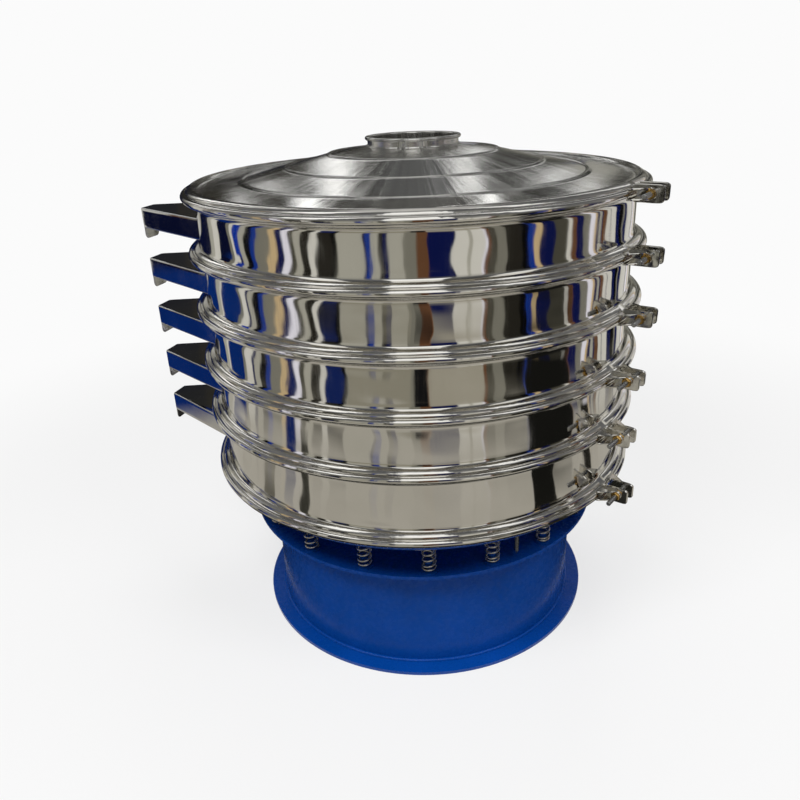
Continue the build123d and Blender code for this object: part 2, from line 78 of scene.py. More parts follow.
def newMaterial(name, metallic, ior=None):
    material = bpy.data.materials.new(name)
    material.use_nodes = True
    shader = material.node_tree.nodes["Principled BSDF"]
    shader.inputs["Metallic"].default_value = metallic
    if ior:
        shader.inputs["IOR"].default_value = ior
    return material, material.node_tree, shader


def dress(names, material):
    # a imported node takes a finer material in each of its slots
    for name in names:
        for slot in nodes[name].material_slots:
            slot.material = material


def makePiece(name, parts, body=None, material=None, replaced=(), smooth=True):
    # (points in mm, list of face arrays) parts become one mesh at the origin that rides on a body
    points = np.concatenate([part for part, sides in parts]) * mm
    starts = np.cumsum([0] + [len(part) for part, sides in parts])
    faces = [side + start for (part, sides), start in zip(parts, starts) for side in sides]
    counts = np.concatenate([np.full(len(side), side.shape[1]) for side in faces])
    mesh = bpy.data.meshes.new(name)
    mesh.vertices.add(len(points))
    mesh.vertices.foreach_set("co", points.ravel().astype(np.float32))
    mesh.loops.add(int(counts.sum()))
    mesh.loops.foreach_set("vertex_index", np.concatenate([side.ravel() for side in faces]).astype(np.int32))
    mesh.polygons.add(len(counts))
    mesh.polygons.foreach_set("loop_start", (np.cumsum(counts) - counts).astype(np.int32))
    mesh.update(calc_edges=True)
    mesh.polygons.foreach_set("use_smooth", np.full(len(counts), smooth))
    mesh.set_sharp_from_angle(angle=0.6)
    mesh.validate()
    piece = bpy.data.objects.new(name, mesh)
    bpy.context.scene.collection.objects.link(piece)
    if material:
        mesh.materials.append(material)
    if body:
        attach(piece, body)
    if replaced:
        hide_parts(*replaced)
    return piece


def gridFaces(rows, columns, wrapRows=False, wrapColumns=False, keep=None):
    # quads of a rows by columns grid of points; keep drops the quads where it is false
    row = np.arange(rows if wrapRows else rows - 1)[:, None]
    column = np.arange(columns if wrapColumns else columns - 1)[None, :]
    nextRow, nextColumn = (row + 1) % rows, (column + 1) % columns
    quads = np.stack(np.broadcast_arrays(row * columns + column, row * columns + nextColumn,
                                         nextRow * columns + nextColumn, nextRow * columns + column), -1)
    return quads.reshape(-1, 4) if keep is None else quads[keep]


def lathe(profile, angles, closed=True, wrap=True, ripple=None, keep=None):
    # a (radius, height) profile turned about Z: x = r cos a, y = r sin a; outside is on the right of the way it runs
    profile = np.asarray(profile, float)
    radius = np.repeat(profile[:, :1], len(angles), 1)
    height = np.repeat(profile[:, 1:], len(angles), 1)
    if ripple is not None:
        radius, height = ripple(np.asarray(angles)[None], radius, height)
    points = np.stack([radius * np.cos(angles), radius * np.sin(angles), height], -1)
    return points.reshape(-1, 3), [gridFaces(len(profile), len(angles), closed, wrap, keep)]


def tube(path, radius, sides=10, closed=False, up=(0, 0, 1)):
    # a round section carried along a path: centre + radius (cos a * across + sin a * over)
    path = np.asarray(path, float)
    along = np.roll(path, -1, 0) - np.roll(path, 1, 0) if closed else np.gradient(path, axis=0)
    across = np.cross(along, up)
    across /= np.linalg.norm(across, axis=1)[:, None]
    over = np.cross(across, along)
    over /= np.linalg.norm(over, axis=1)[:, None]
    turn = np.linspace(0, 2 * np.pi, sides, endpoint=False)[None, :, None]
    radius = np.broadcast_to(radius, len(path))[:, None, None]
    points = path[:, None] + radius * (np.cos(turn) * across[:, None] + np.sin(turn) * over[:, None])
    faces = [gridFaces(len(path), sides, closed, True)[:, ::-1]]
    if not closed:
        faces += [np.arange(sides)[None], np.arange(sides)[None, ::-1] + (len(path) - 1) * sides]
    return points.reshape(-1, 3), faces


def plate(outline, low, high, bevel):
    # an outline in x, y carried from z low to z high, its edges drawn in along the corner normals by the bevel
    outline = np.asarray(outline, float)
    side = np.roll(outline, -1, 0) - outline
    side /= np.linalg.norm(side, axis=1)[:, None]
    normal = np.stack([side[:, 1], -side[:, 0]], 1)
    normal = normal + np.roll(normal, 1, 0)
    normal /= np.maximum((normal ** 2).sum(1), 0.8)[:, None] / 2
    inset, heights = np.array([bevel, 0, 0, bevel]), np.array([low, low + bevel, high - bevel, high])
    flat = outline[None] - normal[None] * inset[:, None, None]
    points = np.concatenate([flat, np.repeat(heights, len(outline)).reshape(4, -1, 1)], -1)
    ends = np.arange(len(outline))[None]
    return points.reshape(-1, 3), [gridFaces(4, len(outline), False, True), ends[:, ::-1], ends + 3 * len(outline)]


def roundBox(halfWidth, halfHeight, power=0.3, count=40):
    # rounded rectangle: x = a sgn(c) |c| to the power p, y = b sgn(s) |s| to the power p
    turn = np.linspace(0, 2 * np.pi, count, endpoint=False)
    return np.stack([halfWidth * np.sign(np.cos(turn)) * np.abs(np.cos(turn)) ** power,
                     halfHeight * np.sign(np.sin(turn)) * np.abs(np.sin(turn)) ** power], 1)


def hexagon(across):
    turn = np.radians(np.arange(30, 390, 60))
    return np.stack([np.cos(turn), np.sin(turn)], 1) * across / 3 ** 0.5


def placed(part, origin, xWay, yWay):
    # a part's x, y and z laid along three directions at a place
    xWay, yWay = np.asarray(xWay, float), np.asarray(yWay, float)
    return part[0] @ np.stack([xWay, yWay, np.cross(xWay, yWay)]) + np.asarray(origin, float), part[1]


def ripples(turns, sizes, seed):
    # a slow wave round the machine: the sum of size * sin(turns * angle + phase)
    phases = np.random.default_rng(seed).uniform(0, 2 * np.pi, len(turns))
    return lambda angle, shift: sum(size * np.sin(turn * angle + phase + shift * (1 + i % 3))
                                    for i, (turn, size, phase) in enumerate(zip(turns, sizes, phases)))


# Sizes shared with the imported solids, in mm: joint levels from the top, and where each clamp stands
jointLevels = [1026, 907, 788, 669, 550, 409]
clampAngles = np.radians([-34, -33, -33, -37, -39, -37])


# Polished stainless: a near-mirror sheet, slightly uneven from rolling, with faint upright polishing marks
def polishedSteel(name, colour, rough, marks, waves):
    material, tree, shader = newMaterial(name, 1.0)
    place = addNode(tree, "ShaderNodeTexCoord").outputs["Object"]
    stretched = addNode(tree, "ShaderNodeMapping", None, {"Vector": place, "Scale": marks}).outputs[0]
    grain = addNode(tree, "ShaderNodeTexNoise", None, {"Vector": stretched, "Scale": 1.0, "Detail": 4.0}).outputs[0]
    smears = addNode(tree, "ShaderNodeTexNoise", None, {"Vector": place, "Scale": 9.0, "Detail": 3.0}).outputs[0]
    both = addNode(tree, "ShaderNodeMath", {"operation": "MULTIPLY"}, {0: grain, 1: smears}).outputs[0]
    roughness = addNode(tree, "ShaderNodeMapRange", None, {"Value": both, "From Min": 0.12, "From Max": 0.42,
                                                           "To Min": rough[0], "To Max": rough[1]}).outputs[0]
    tree.links.new(roughness, shader.inputs["Roughness"])
    tint = addNode(tree, "ShaderNodeValToRGB", None, {"Fac": smears})
    tree.links.new(setRamp(tint, [(0.3, colour[0]), (0.7, colour[1])]), shader.inputs["Base Color"])
    dents = addNode(tree, "ShaderNodeTexNoise", None, {"Vector": place, "Scale": waves[0], "Detail": 1.0}).outputs[0]
    height = addNode(tree, "ShaderNodeMath", {"operation": "MULTIPLY_ADD"}, {0: grain, 1: waves[2], 2: dents}).outputs[0]
    bump = addNode(tree, "ShaderNodeBump", None, {"Height": height, "Strength": 1.0, "Distance": waves[1]}).outputs[0]
    tree.links.new(bump, shader.inputs["Normal"])
    return material


wallSteel = polishedSteel("Polished stainless sheet", ("#DAD8D2", "#E2E0DB"), (0.03, 0.11), (260, 260, 9), (14, 0.00035, 0.01))
bandSteel = polishedSteel("Polished stainless band", ("#D8D6D0", "#E6E4DF"), (0.06, 0.17), (60, 60, 60), (55, 0.00035, 0.05))
outletSteel = polishedSteel("Polished stainless outlet", ("#CFCFCF", "#DEDEDD"), (0.04, 0.13), (160, 160, 160), (18, 0.0003, 0.01))
castSteel = polishedSteel("Cast stainless clamp", ("#BDB9AE", "#D2CFC6"), (0.14, 0.30), (180, 180, 180), (120, 0.0005, 0.2))
boltSteel = polishedSteel("Zinc plated bolts", ("#A9ABAC", "#C6C7C6"), (0.22, 0.38), (400, 400, 400), (300, 0.0001, 0.3))
springSteel = polishedSteel("Bright spring wire", ("#C9C5BA", "#DEDAD0"), (0.12, 0.26), (600, 600, 90), (200, 0.0001, 0.3))
nutBrass = polishedSteel("Brass nuts", ("#B68F4C", "#C9A562"), (0.16, 0.32), (300, 300, 300), (220, 0.0001, 0.3))
shaftSteel = polishedSteel("Ground steel shaft", ("#A5A6A8", "#BCBDBE"), (0.18, 0.3), (90, 90, 900), (100, 0.00005, 0.3))
coreSteel = polishedSteel("Varnished laminations", ("#4A3B30", "#5C4A3A"), (0.35, 0.5), (2, 2, 2000), (90, 0.0003, 1.0))
weightIron = polishedSteel("Machined cast iron", ("#5B5C5E", "#747577"), (0.32, 0.5), (500, 500, 500), (300, 0.0003, 0.5))


# Spun and polished lid: round turning marks over soft radial streaks, which are rougher and painted a lighter tint; the
# lighter tint is a painted highlight
def lidFinish():
    material, tree, shader = newMaterial("Spun stainless lid", 1.0)
    shader.inputs["Anisotropic"].default_value = 0.8
    shader.inputs["Anisotropic Rotation"].default_value = 0.25
    spun = addNode(tree, "ShaderNodeTangent", {"direction_type": "RADIAL", "axis": "Z"})
    tree.links.new(spun.outputs[0], shader.inputs["Tangent"])
    place = addNode(tree, "ShaderNodeTexCoord").outputs["Object"]
    flat = addNode(tree, "ShaderNodeVectorMath", {"operation": "MULTIPLY"}, {0: place, 1: (1, 1, 0)}).outputs[0]
    radius = addNode(tree, "ShaderNodeVectorMath", {"operation": "LENGTH"}, {0: flat}).outputs["Value"]
    around = addNode(tree, "ShaderNodeVectorMath", {"operation": "NORMALIZE"}, {0: flat}).outputs[0]
    streaks = addNode(tree, "ShaderNodeTexNoise", None, {"Vector": around, "Scale": 14.0, "Detail": 6.0,
                                                         "Roughness": 0.65}).outputs[0]
    rings = addNode(tree, "ShaderNodeTexNoise", {"noise_dimensions": "1D"}, {"W": radius, "Scale": 420.0,
                                                                           "Detail": 3.0}).outputs[0]
    roughness = addNode(tree, "ShaderNodeMapRange", None, {"Value": streaks, "From Min": 0.3, "From Max": 0.7,
                                                           "To Min": 0.10, "To Max": 0.24}).outputs[0]
    tree.links.new(roughness, shader.inputs["Roughness"])
    # painted highlight: the radial streaks lighten the lid's base colour as well as roughening it
    tint = addNode(tree, "ShaderNodeValToRGB", None, {"Fac": streaks})
    tree.links.new(setRamp(tint, [(0.35, "#C9C8C4"), (0.65, "#DEDDD9")]), shader.inputs["Base Color"])
    height = addNode(tree, "ShaderNodeMath", {"operation": "MULTIPLY_ADD"}, {0: rings, 1: 0.15, 2: streaks}).outputs[0]
    bump = addNode(tree, "ShaderNodeBump", None, {"Height": height, "Strength": 1.0, "Distance": 0.0006}).outputs[0]
    tree.links.new(bump, shader.inputs["Normal"])
    return material


lidSteel = lidFinish()


# Gloss paint: a soft orange peel about 2 mm across under a clear gloss, with fine dust and a few rubbed spots
def glossPaint(name, colours, rough, scuffs):
    material, tree, shader = newMaterial(name, 0.0, 1.5)
    shader.inputs["Specular IOR Level"].default_value = 0.3
    place = addNode(tree, "ShaderNodeTexCoord").outputs["Object"]
    clouds = addNode(tree, "ShaderNodeTexNoise", None, {"Vector": place, "Scale": 7.0, "Detail": 5.0}).outputs[0]
    specks = addNode(tree, "ShaderNodeTexNoise", None, {"Vector": place, "Scale": 55.0, "Detail": 6.0,
                                                        "Roughness": 0.7}).outputs[0]
    colour = addNode(tree, "ShaderNodeValToRGB", None, {"Fac": clouds})
    setRamp(colour, [(0.3, colours[0]), (0.7, colours[1])])
    worn = addNode(tree, "ShaderNodeMapRange", None, {"Value": specks, "From Min": 0.70, "From Max": 0.78,
                                                      "To Min": 0.0, "To Max": scuffs}).outputs[0]
    mixed = addNode(tree, "ShaderNodeMix", {"data_type": "RGBA"}, {"Factor": worn, 6: colour.outputs["Color"]})
    mixed.inputs[7].default_value = linear(colours[2])
    tree.links.new(mixed.outputs[2], shader.inputs["Base Color"])
    roughness = addNode(tree, "ShaderNodeMapRange", None, {"Value": specks, "From Min": 0.3, "From Max": 0.75,
                                                           "To Min": rough[0], "To Max": rough[1]}).outputs[0]
    tree.links.new(roughness, shader.inputs["Roughness"])
    peel = addNode(tree, "ShaderNodeTexNoise", None, {"Vector": place, "Scale": 320.0, "Detail": 1.0}).outputs[0]
    bump = addNode(tree, "ShaderNodeBump", None, {"Height": peel, "Strength": 0.5, "Distance": 0.0003}).outputs[0]
    tree.links.new(bump, shader.inputs["Normal"])
    return material


bluePaint = glossPaint("Royal blue gloss enamel", ("#003C8A", "#064296", "#5478B8"), (0.20, 0.36), 0.5)
motorPaint = glossPaint("Grey motor enamel", ("#4A5660", "#56626C", "#8C949A"), (0.3, 0.45), 0.4)


# Moulded rubber and plastic: satin, with a fine pebbled skin
def mouldedSkin(name, colours, rough, grit):
    material, tree, shader = newMaterial(name, 0.0, 1.5)
    place = addNode(tree, "ShaderNodeTexCoord").outputs["Object"]
    pebble = addNode(tree, "ShaderNodeTexNoise", None, {"Vector": place, "Scale": grit, "Detail": 3.0}).outputs[0]
    colour = addNode(tree, "ShaderNodeValToRGB", None, {"Fac": pebble})
    tree.links.new(setRamp(colour, [(0.3, colours[0]), (0.7, colours[1])]), shader.inputs["Base Color"])
    roughness = addNode(tree, "ShaderNodeMapRange", None, {"Value": pebble, "From Min": 0.3, "From Max": 0.7,
                                                           "To Min": rough[0], "To Max": rough[1]}).outputs[0]
    tree.links.new(roughness, shader.inputs["Roughness"])
    bump = addNode(tree, "ShaderNodeBump", None, {"Height": pebble, "Strength": 0.4, "Distance": 0.0002}).outputs[0]
    tree.links.new(bump, shader.inputs["Normal"])
    return material


gasketRubber = mouldedSkin("White silicone gasket", ("#C9C7BE", "#DAD8D0"), (0.45, 0.6), 400.0)
ballRubber = mouldedSkin("Natural rubber balls", ("#CFC6B0", "#DCD4C0"), (0.5, 0.65), 300.0)
blackPlastic = mouldedSkin("Black nylon gland", ("#101112", "#1B1C1D"), (0.35, 0.5), 500.0)


# Woven wire cloth, 4 mm between the wires here: over and under waves along X and Y (the real one is 1 mm or finer)
def wovenCloth():
    material, tree, shader = newMaterial("Woven stainless cloth", 1.0)
    place = addNode(tree, "ShaderNodeTexCoord").outputs["Object"]
    wires = [addNode(tree, "ShaderNodeTexWave", {"bands_direction": way}, {"Vector": place, "Scale": 40.0}).outputs[1]
             for way in ("X", "Y")]
    height = addNode(tree, "ShaderNodeMath", {"operation": "MAXIMUM"}, {0: wires[0], 1: wires[1]}).outputs[0]
    # painted shade: between the wires the cloth is painted near black, and the pale colour is kept for the wires'
    # crests
    colour = addNode(tree, "ShaderNodeValToRGB", None, {"Fac": height})
    tree.links.new(setRamp(colour, [(0.45, "#2C2C2B"), (0.75, "#B9B7B0")]), shader.inputs["Base Color"])
    bump = addNode(tree, "ShaderNodeBump", None, {"Height": height, "Strength": 0.8, "Distance": 0.0006}).outputs[0]
    tree.links.new(bump, shader.inputs["Normal"])
    roughness = addNode(tree, "ShaderNodeMapRange", None, {"Value": height, "To Min": 0.5, "To Max": 0.25}).outputs[0]
    tree.links.new(roughness, shader.inputs["Roughness"])
    return material


meshCloth = wovenCloth()
traySteel = polishedSteel("Satin stainless tray", ("#A8A7A2", "#BFBEB9"), (0.28, 0.42), (120, 120, 120), (60, 0.0002, 0.2))

dress(["base_floor_ring", "base_wall", "base_top_ring", "lower_spring_seats", "hand_hole_cover", "vibrating_table",
       "upper_spring_seats"], bluePaint)
dress(["hand_hole_screws", "stop_studs", "clamp_bolts", "motor_bolts"], boltSteel)
dress(["cable_gland"], blackPlastic)
dress(["springs"], springSteel)
dress([f"frame_{tier}" for tier in range(1, 6)], wallSteel)
dress([f"outlet_{tier}" for tier in range(1, 6)], outletSteel)
dress([f"clamp_band_{tier}" for tier in range(1, 7)], bandSteel)
dress([f"screen_ring_{tier}" for tier in range(1, 5)], traySteel)
dress([f"screen_mesh_{tier}" for tier in range(1, 5)], meshCloth)
dress([f"ball_tray_{tier}" for tier in range(1, 5)] + ["discharge_dome"], traySteel)
dress(["screen_gaskets", "end_gaskets"], gasketRubber)
dress(["rubber_balls"], ballRubber)
dress(["lid", "inlet_collar"], lidSteel)
dress(["clamp_nuts"], nutBrass)
dress(["motor_body", "motor_flange", "motor_top_cover", "motor_bottom_cover", "terminal_box"], motorPaint)
dress(["motor_stator", "rotor_core"], coreSteel)
dress(["rotor_shaft", "motor_bearings"], shaftSteel)
dress(["upper_weight", "lower_fixed_weight", "lower_turning_weight"], weightIron)
print("finishes done")


# Frame walls: a rolled sheet with a flared flange at each end, and a window cut to its outlet
frameShape = {"wallRadius": 472.5, "innerRadius": 470.5, "flangeRadius": 492, "seat": 4.3, "flangeTip": 8.3,
              "windowTurn": (162.3, 191.5), "windowHeights": (-95, -54),
              "waves": ((9, 16, 23, 37, 52), (0.5, 0.3, 0.22, 0.10, 0.05))}


def frameWall(tier):
    shape = frameShape
    upper, lower = jointLevels[tier - 1], jointLevels[tier]
    inner = np.array([0, 0.25, 0.5, 0.75, 1])
    window = np.radians(np.linspace(*shape["windowTurn"], 31))
    rest = np.linspace(window[-1], window[0] + 2 * np.pi, 341)[1:-1]
    angles = np.concatenate([window, rest])
    low, high = upper + shape["windowHeights"][0], upper + shape["windowHeights"][1]
    flare = np.array([[0, 24], [0.3, 19.5], [1.4, 17.2], [3.4, 15.8], [7.5, 13.2], [15.0, 8.4], [18.0, 7.4], [18.6, 6.6], [18.6, 4.3]])
    outer, rise = shape["wallRadius"] + flare[:, 0], flare[:, 1]
    heights = np.unique(np.concatenate([np.linspace(lower + 24, low, 7), np.linspace(low, high, 7),
                                        np.linspace(high, upper - 24, 7)]).round(3))
    wall = np.stack([np.full(len(heights), shape["wallRadius"]), heights], 1)
    profile = np.concatenate([
        np.stack([outer, lower + rise], 1)[::-1], wall[1:-1], np.stack([outer, upper - rise], 1),
        [[shape["innerRadius"], upper - shape["seat"]]],
        np.stack([np.full(len(heights), shape["innerRadius"]), heights], 1)[::-1],
        [[shape["innerRadius"], lower + shape["seat"]]]])
    wave = ripples(*shape["waves"], seed=tier)

    def roll(angle, radius, height):
        # the wall's radius waves by up to a millimetre between the flanges, and not at them
        share = np.clip(np.minimum(height - lower - 20, upper - 20 - height) / 25, 0, 1)
        calm = share * share * (3 - 2 * share) * (radius < 474)
        return radius + calm * wave(angle, height / 70) * 0.8, height

    middle = (profile[:, 1] + np.roll(profile[:, 1], -1)) / 2
    onWall = (profile[:, 0] < 474) & (np.roll(profile[:, 0], -1) < 474)
    inWindow = (onWall & (middle > low) & (middle < high))[:, None] & (np.arange(len(angles)) < len(window) - 1)[None]
    points, faces = lathe(profile, angles, ripple=roll, keep=~inWindow)
    # the window's four edges join the outer skin to the inner one, level by level
    number = np.arange(len(points)).reshape(len(profile), len(angles))[:, :len(window)]
    levels = [np.flatnonzero((profile[:, 1] >= low - 0.01) & (profile[:, 1] <= high + 0.01) & (profile[:, 0] == radius))
              for radius in (shape["wallRadius"], shape["innerRadius"])]
    outerGrid, innerGrid = number[levels[0]], number[levels[1][::-1]]
    rims = [np.concatenate([grid[0], grid[1:, -1], grid[-1, -2::-1], grid[-2:0:-1, 0]]) for grid in (outerGrid, innerGrid)]
    nextRims = [np.roll(rim, -1) for rim in rims]
    return points, faces + [np.stack([rims[0], nextRims[0], nextRims[1], rims[1]], 1)]


for tier in range(1, 6):
    makePiece(f"sieveFrame{tier}", [frameWall(tier)], "sieve", wallSteel, [f"frame_{tier}"])
print("frames done")


# Clamp bands: a sloped leg, a groove and a rounded bead, open at the clamp where two lugs are welded on
bandShape = {"halfGap": 12, "sheet": 2.2, "beadCentre": 491.8, "beadRadius": 8.2,
             "waves": ((31, 47, 71, 97, 131), (0.16, 0.14, 0.10, 0.07, 0.05))}


def bandSection():
    # half of the outer skin from the leg's end down to the middle of the bead, then mirrored and given a thickness
    turn = np.radians(np.linspace(118, 0, 18))
    bead = np.stack([bandShape["beadCentre"] + bandShape["beadRadius"] * np.cos(turn), bandShape["beadRadius"] * np.sin(turn)], 1)
    leg = np.array([[476, 16.6], [476.3, 17.9], [477.4, 17.7], [481, 15.9], [484.6, 13.6], [486.6, 11.6], [487.6, 9.6]])
    half = np.concatenate([leg, bead[:-1]])
    outer = np.concatenate([half, bead[-1:], (half * [1, -1])[::-1]])
    turnIn = np.radians(np.linspace(70, -70, 15))
    inner = np.stack([bandShape["beadCentre"] + (bandShape["beadRadius"] - bandShape["sheet"]) * np.cos(turnIn),
                      (bandShape["beadRadius"] - bandShape["sheet"]) * np.sin(turnIn)], 1)
    legIn = np.array([[476.2, 15.4], [480.5, 13.2], [484.4, 10.8], [486.4, 8.4]])
    inside = np.concatenate([legIn, inner, (legIn * [1, -1])[::-1]])
    return np.concatenate([outer[::-1], inside])


def clampBand(joint):
    level, azimuth = jointLevels[joint], clampAngles[joint]
    wave, drift = ripples(*bandShape["waves"], seed=20 + joint), ripples((7, 13, 19), (0.35, 0.25, 0.15), 40 + joint)
    gap = bandShape["halfGap"] / 500
    angles = azimuth + np.linspace(gap, 2 * np.pi - gap, 720)
    section = bandSection()

    def dents(angle, radius, height):
        # the bead waves in and out by a few tenths and drifts up and down a little
        share = np.clip((radius - 478) / 14, 0, 1)
        return radius - 0.5 + share * 0.5 * wave(angle, height / 20), height + level + share * drift(angle, 0) * 0.4

    hoop, faces = lathe(section, angles, wrap=False, ripple=dents)
    ends = np.arange(len(section)) * len(angles)
    parts = [(hoop, faces + [ends[None], (ends + len(angles) - 1)[None, ::-1]])]
    out = np.array([np.cos(azimuth), np.sin(azimuth), 0])
    way = np.array([-np.sin(azimuth), np.cos(azimuth), 0])
    up = np.array([0, 0, 1.0])
    for side in (-1, 1):
        start = out * 519.5 + way * side * 12 + up * level
        sizes = (30, 16.8) if side < 0 else (16.8, 30)
        parts.append(placed(plate(roundBox(*sizes, 0.3, 48), 0, 6, 1.4), start, *((out, up) if side < 0 else (up, out))))
        for height in (-9.5, 9.5):
            rib = [[-8, -2], [20, -2], [26, 3], [24, 9], [10, 20], [0, 27], [-6, 30], [-10, 30]]
            rib = np.array(rib, float)
            part = plate(rib if side > 0 else (rib * [1, -1])[::-1], -1.6, 1.6, 0.7)
            parts.append(placed(part, out * 500 + way * side * 15 + up * (level + height), out, way))
        boss = roundBox(10.5, 10.5, 1.0, 28)
        parts.append(placed(plate(boss, 0, 3.2, 0.9), out * 526 + way * side * 18 + up * level,
                            *((up, out) if side > 0 else (out, up))))
    return parts


for joint in range(6):
    makePiece(f"clampBand{joint + 1}", clampBand(joint), "sieve", bandSteel, [f"clamp_band_{joint + 1}"])
print("clamp bands done")


# Clamp bolts with rolled threads, hexagon heads and washers, and brass nuts
boltShape = {"radius": 5, "pitch": 2.0, "tail": 34, "head": 17, "headHeight": 6.5, "nut": 17, "nutHeight": 9}


def clampBolt(joint):
    azimuth, level = clampAngles[joint], jointLevels[joint]
    out = np.array([np.cos(azimuth), np.sin(azimuth), 0])
    way = np.array([-np.sin(azimuth), np.cos(azimuth), 0])
    up = np.array([0, 0, 1.0])
    centre = out * 526 + up * level
    low, high = -18 - boltShape["nutHeight"] - boltShape["tail"], 18
    along = np.linspace(low, high, 150)
    # thread: the radius saws in and out by half a millimetre once each pitch, with a short point at the free end
    saw = np.abs((along / boltShape["pitch"]) % 1 - 0.5) * 1.0
    radius = np.minimum(boltShape["radius"] - saw, 3.4 + (along - low) * 0.8)
    shank = np.concatenate([[[0.01, low]], np.stack([radius, along], 1), [[0.01, high]]])
    rod = lathe(shank, np.linspace(0, 2 * np.pi, 21)[:-1])
    head = plate(hexagon(boltShape["head"]), 3.2, 3.2 + boltShape["headHeight"] - 1.6, 0.8)
    washer = plate(roundBox(9.6, 9.6, 1.0, 28), 3.2, 4.6, 0.3)
    bolt = [placed(rod, centre, up, out), placed(head, centre + way * 18, up, out),
            placed(washer, centre + way * 18, up, out)]
    nut = [placed(plate(hexagon(boltShape["nut"]), 3.3, boltShape["nutHeight"], 1.1), centre - way * 18, out, up)]
    return bolt, nut


bolts = [clampBolt(joint) for joint in range(6)]
makePiece("clampBolts", sum([bolt for bolt, nut in bolts], []), "sieve", boltSteel, ["clamp_bolts"])
makePiece("clampNuts", sum([nut for bolt, nut in bolts], []), "sieve", nutBrass, ["clamp_nuts"])
print("clamp bolts done")


# Lid: a sunk rim, then a cone in three steps, each with a rolled ridge
lidShape = {"ridges": ((373, 17), (278, 38), (183, 60)), "ridgeHeight": 4.0, "rimRadius": 464, "rimHeight": 9,
            "holeRadius": 98.3, "holeHeight": 74, "sheet": 2, "waves": ((11, 17, 29, 41, 59), (0.28, 0.2, 0.16, 0.1, 0.06))}


def lidTop(radius):
    # cone height between the ridges' feet, plus a round bump exp(-((r - r0) / 4.2)^2) at each ridge
    places, heights = [lidShape["holeRadius"]], [lidShape["holeHeight"]]
    for centre, height in lidShape["ridges"][::-1]:
        places += [centre - 7, centre + 5]
        heights += [height + 2.0, height + 0.4]
    places.append(lidShape["rimRadius"])
    heights.append(lidShape["rimHeight"])
    ridge = sum(2.9 * np.exp(-((radius - centre + 0.5) / 4.2) ** 2) for centre, height in lidShape["ridges"])
    return np.interp(radius, places, heights) + ridge


def lidShell():
    near = [np.arange(centre - 12, centre + 12.1, 1.5) for centre, height in lidShape["ridges"]]
    radii = np.unique(np.concatenate([np.linspace(lidShape["holeRadius"], lidShape["rimRadius"], 32)] + near))[::-1]
    top = np.stack([radii, lidTop(radii)], 1)
    flange = np.array([[470.5, 4.3], [491, 4.3], [491, 6.6], [490.4, 7.4], [487.5, 8.4], [480, 13.2], [475.2, 15.4], [473.6, 15.8], [471.0, 15.6],
                       [469.2, 14.0], [467.6, 11.4], [466.0, 9.6]])
    under = (top - [0, lidShape["sheet"]])[::-2]
    profile = np.concatenate([flange, top, under])
    wave = ripples(*lidShape["waves"], seed=3)

    def buff(angle, radius, height):
        # the cone's height waves round the lid by a few tenths, most near its rim
        share = np.clip((radius - 110) / 250, 0, 1) * (radius < 462)
        return radius, height + 1026 + share * wave(angle, radius / 90) * 0.55

    return lathe(profile, np.linspace(0, 2 * np.pi, 481)[:-1], ripple=buff)


makePiece("lidShell", [lidShell()], "sieve", lidSteel, ["lid"])


# Inlet collar: a short pipe with an outward rolled lip, and the weld that joins it to the lid
collarShape = {"outer": 98, "inner": 95.5, "lip": 3.9, "top": 1120, "low": 1094.2}


def inletCollar():
    turn = np.radians(np.linspace(-80, 250, 23))
    centre = (collarShape["inner"] + collarShape["lip"] + 0.1, collarShape["top"] - collarShape["lip"])
    roll = np.stack([centre[0] + collarShape["lip"] * np.cos(turn), centre[1] + collarShape["lip"] * np.sin(turn)], 1)
    profile = np.concatenate([[[collarShape["outer"], collarShape["low"]], [collarShape["outer"], 1112.3]], roll[1:-3],
                              [[collarShape["inner"], 1114.5], [collarShape["inner"], collarShape["low"]]]])
    angles = np.linspace(0, 2 * np.pi, 181)[:-1]
    weld = np.stack([99.2 * np.cos(angles), 99.2 * np.sin(angles), 1100.6 + 0.25 * np.sin(90 * angles)], 1)
    return [lathe(profile, angles), tube(weld, 2.0 + 0.25 * np.sin(72 * angles), 8, closed=True)]


makePiece("inletCollar", inletCollar(), "sieve", lidSteel, ["inlet_collar"])
print("lid done")


# Springs: round wire, one closed turn at each end and six open turns between
springShape = {"count": 18, "first": -88.7, "circle": 400, "coil": 13.5, "wire": 2.5, "low": 284.9, "high": 380.1}


def springCoil(azimuth):
    turns, share = 8.0, np.linspace(0, 1, 241)
    pitch = 5.2 + 9.6 * np.clip(np.minimum(share, 1 - share) * 16 - 1.6, 0, 1)
    climb = np.concatenate([[0], np.cumsum((pitch[1:] + pitch[:-1]) / 2)])
    height = springShape["low"] + (springShape["high"] - springShape["low"]) * climb / climb[-1]
    turn = share * turns * 2 * np.pi + azimuth * 3
    path = np.stack([springShape["circle"] * np.cos(azimuth) + springShape["coil"] * np.cos(turn),
                     springShape["circle"] * np.sin(azimuth) + springShape["coil"] * np.sin(turn), height], 1)
    return tube(path, springShape["wire"], 12)


springPlaces = np.radians(springShape["first"] + np.arange(springShape["count"]) * 360 / springShape["count"])
springs = makePiece("springCoils", [springCoil(azimuth) for azimuth in springPlaces], material=springSteel,
                    replaced=["springs"])
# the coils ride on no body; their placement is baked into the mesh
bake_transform(springs)
print("springs done")


# Outlets: folded sheet, tapering in plan to a narrow tip, its mouth under the tip
outletShape = {"wallFront": (-462, -98), "tipFront": (-645, 81), "tipBack": (-630, 132), "wallBack": (-445, 146),
               "topDrop": 52, "height": 47, "lipDrop": 26, "sheet": 1.8, "fold": 3.5, "mouth": 0.66, "wall": 472.9}


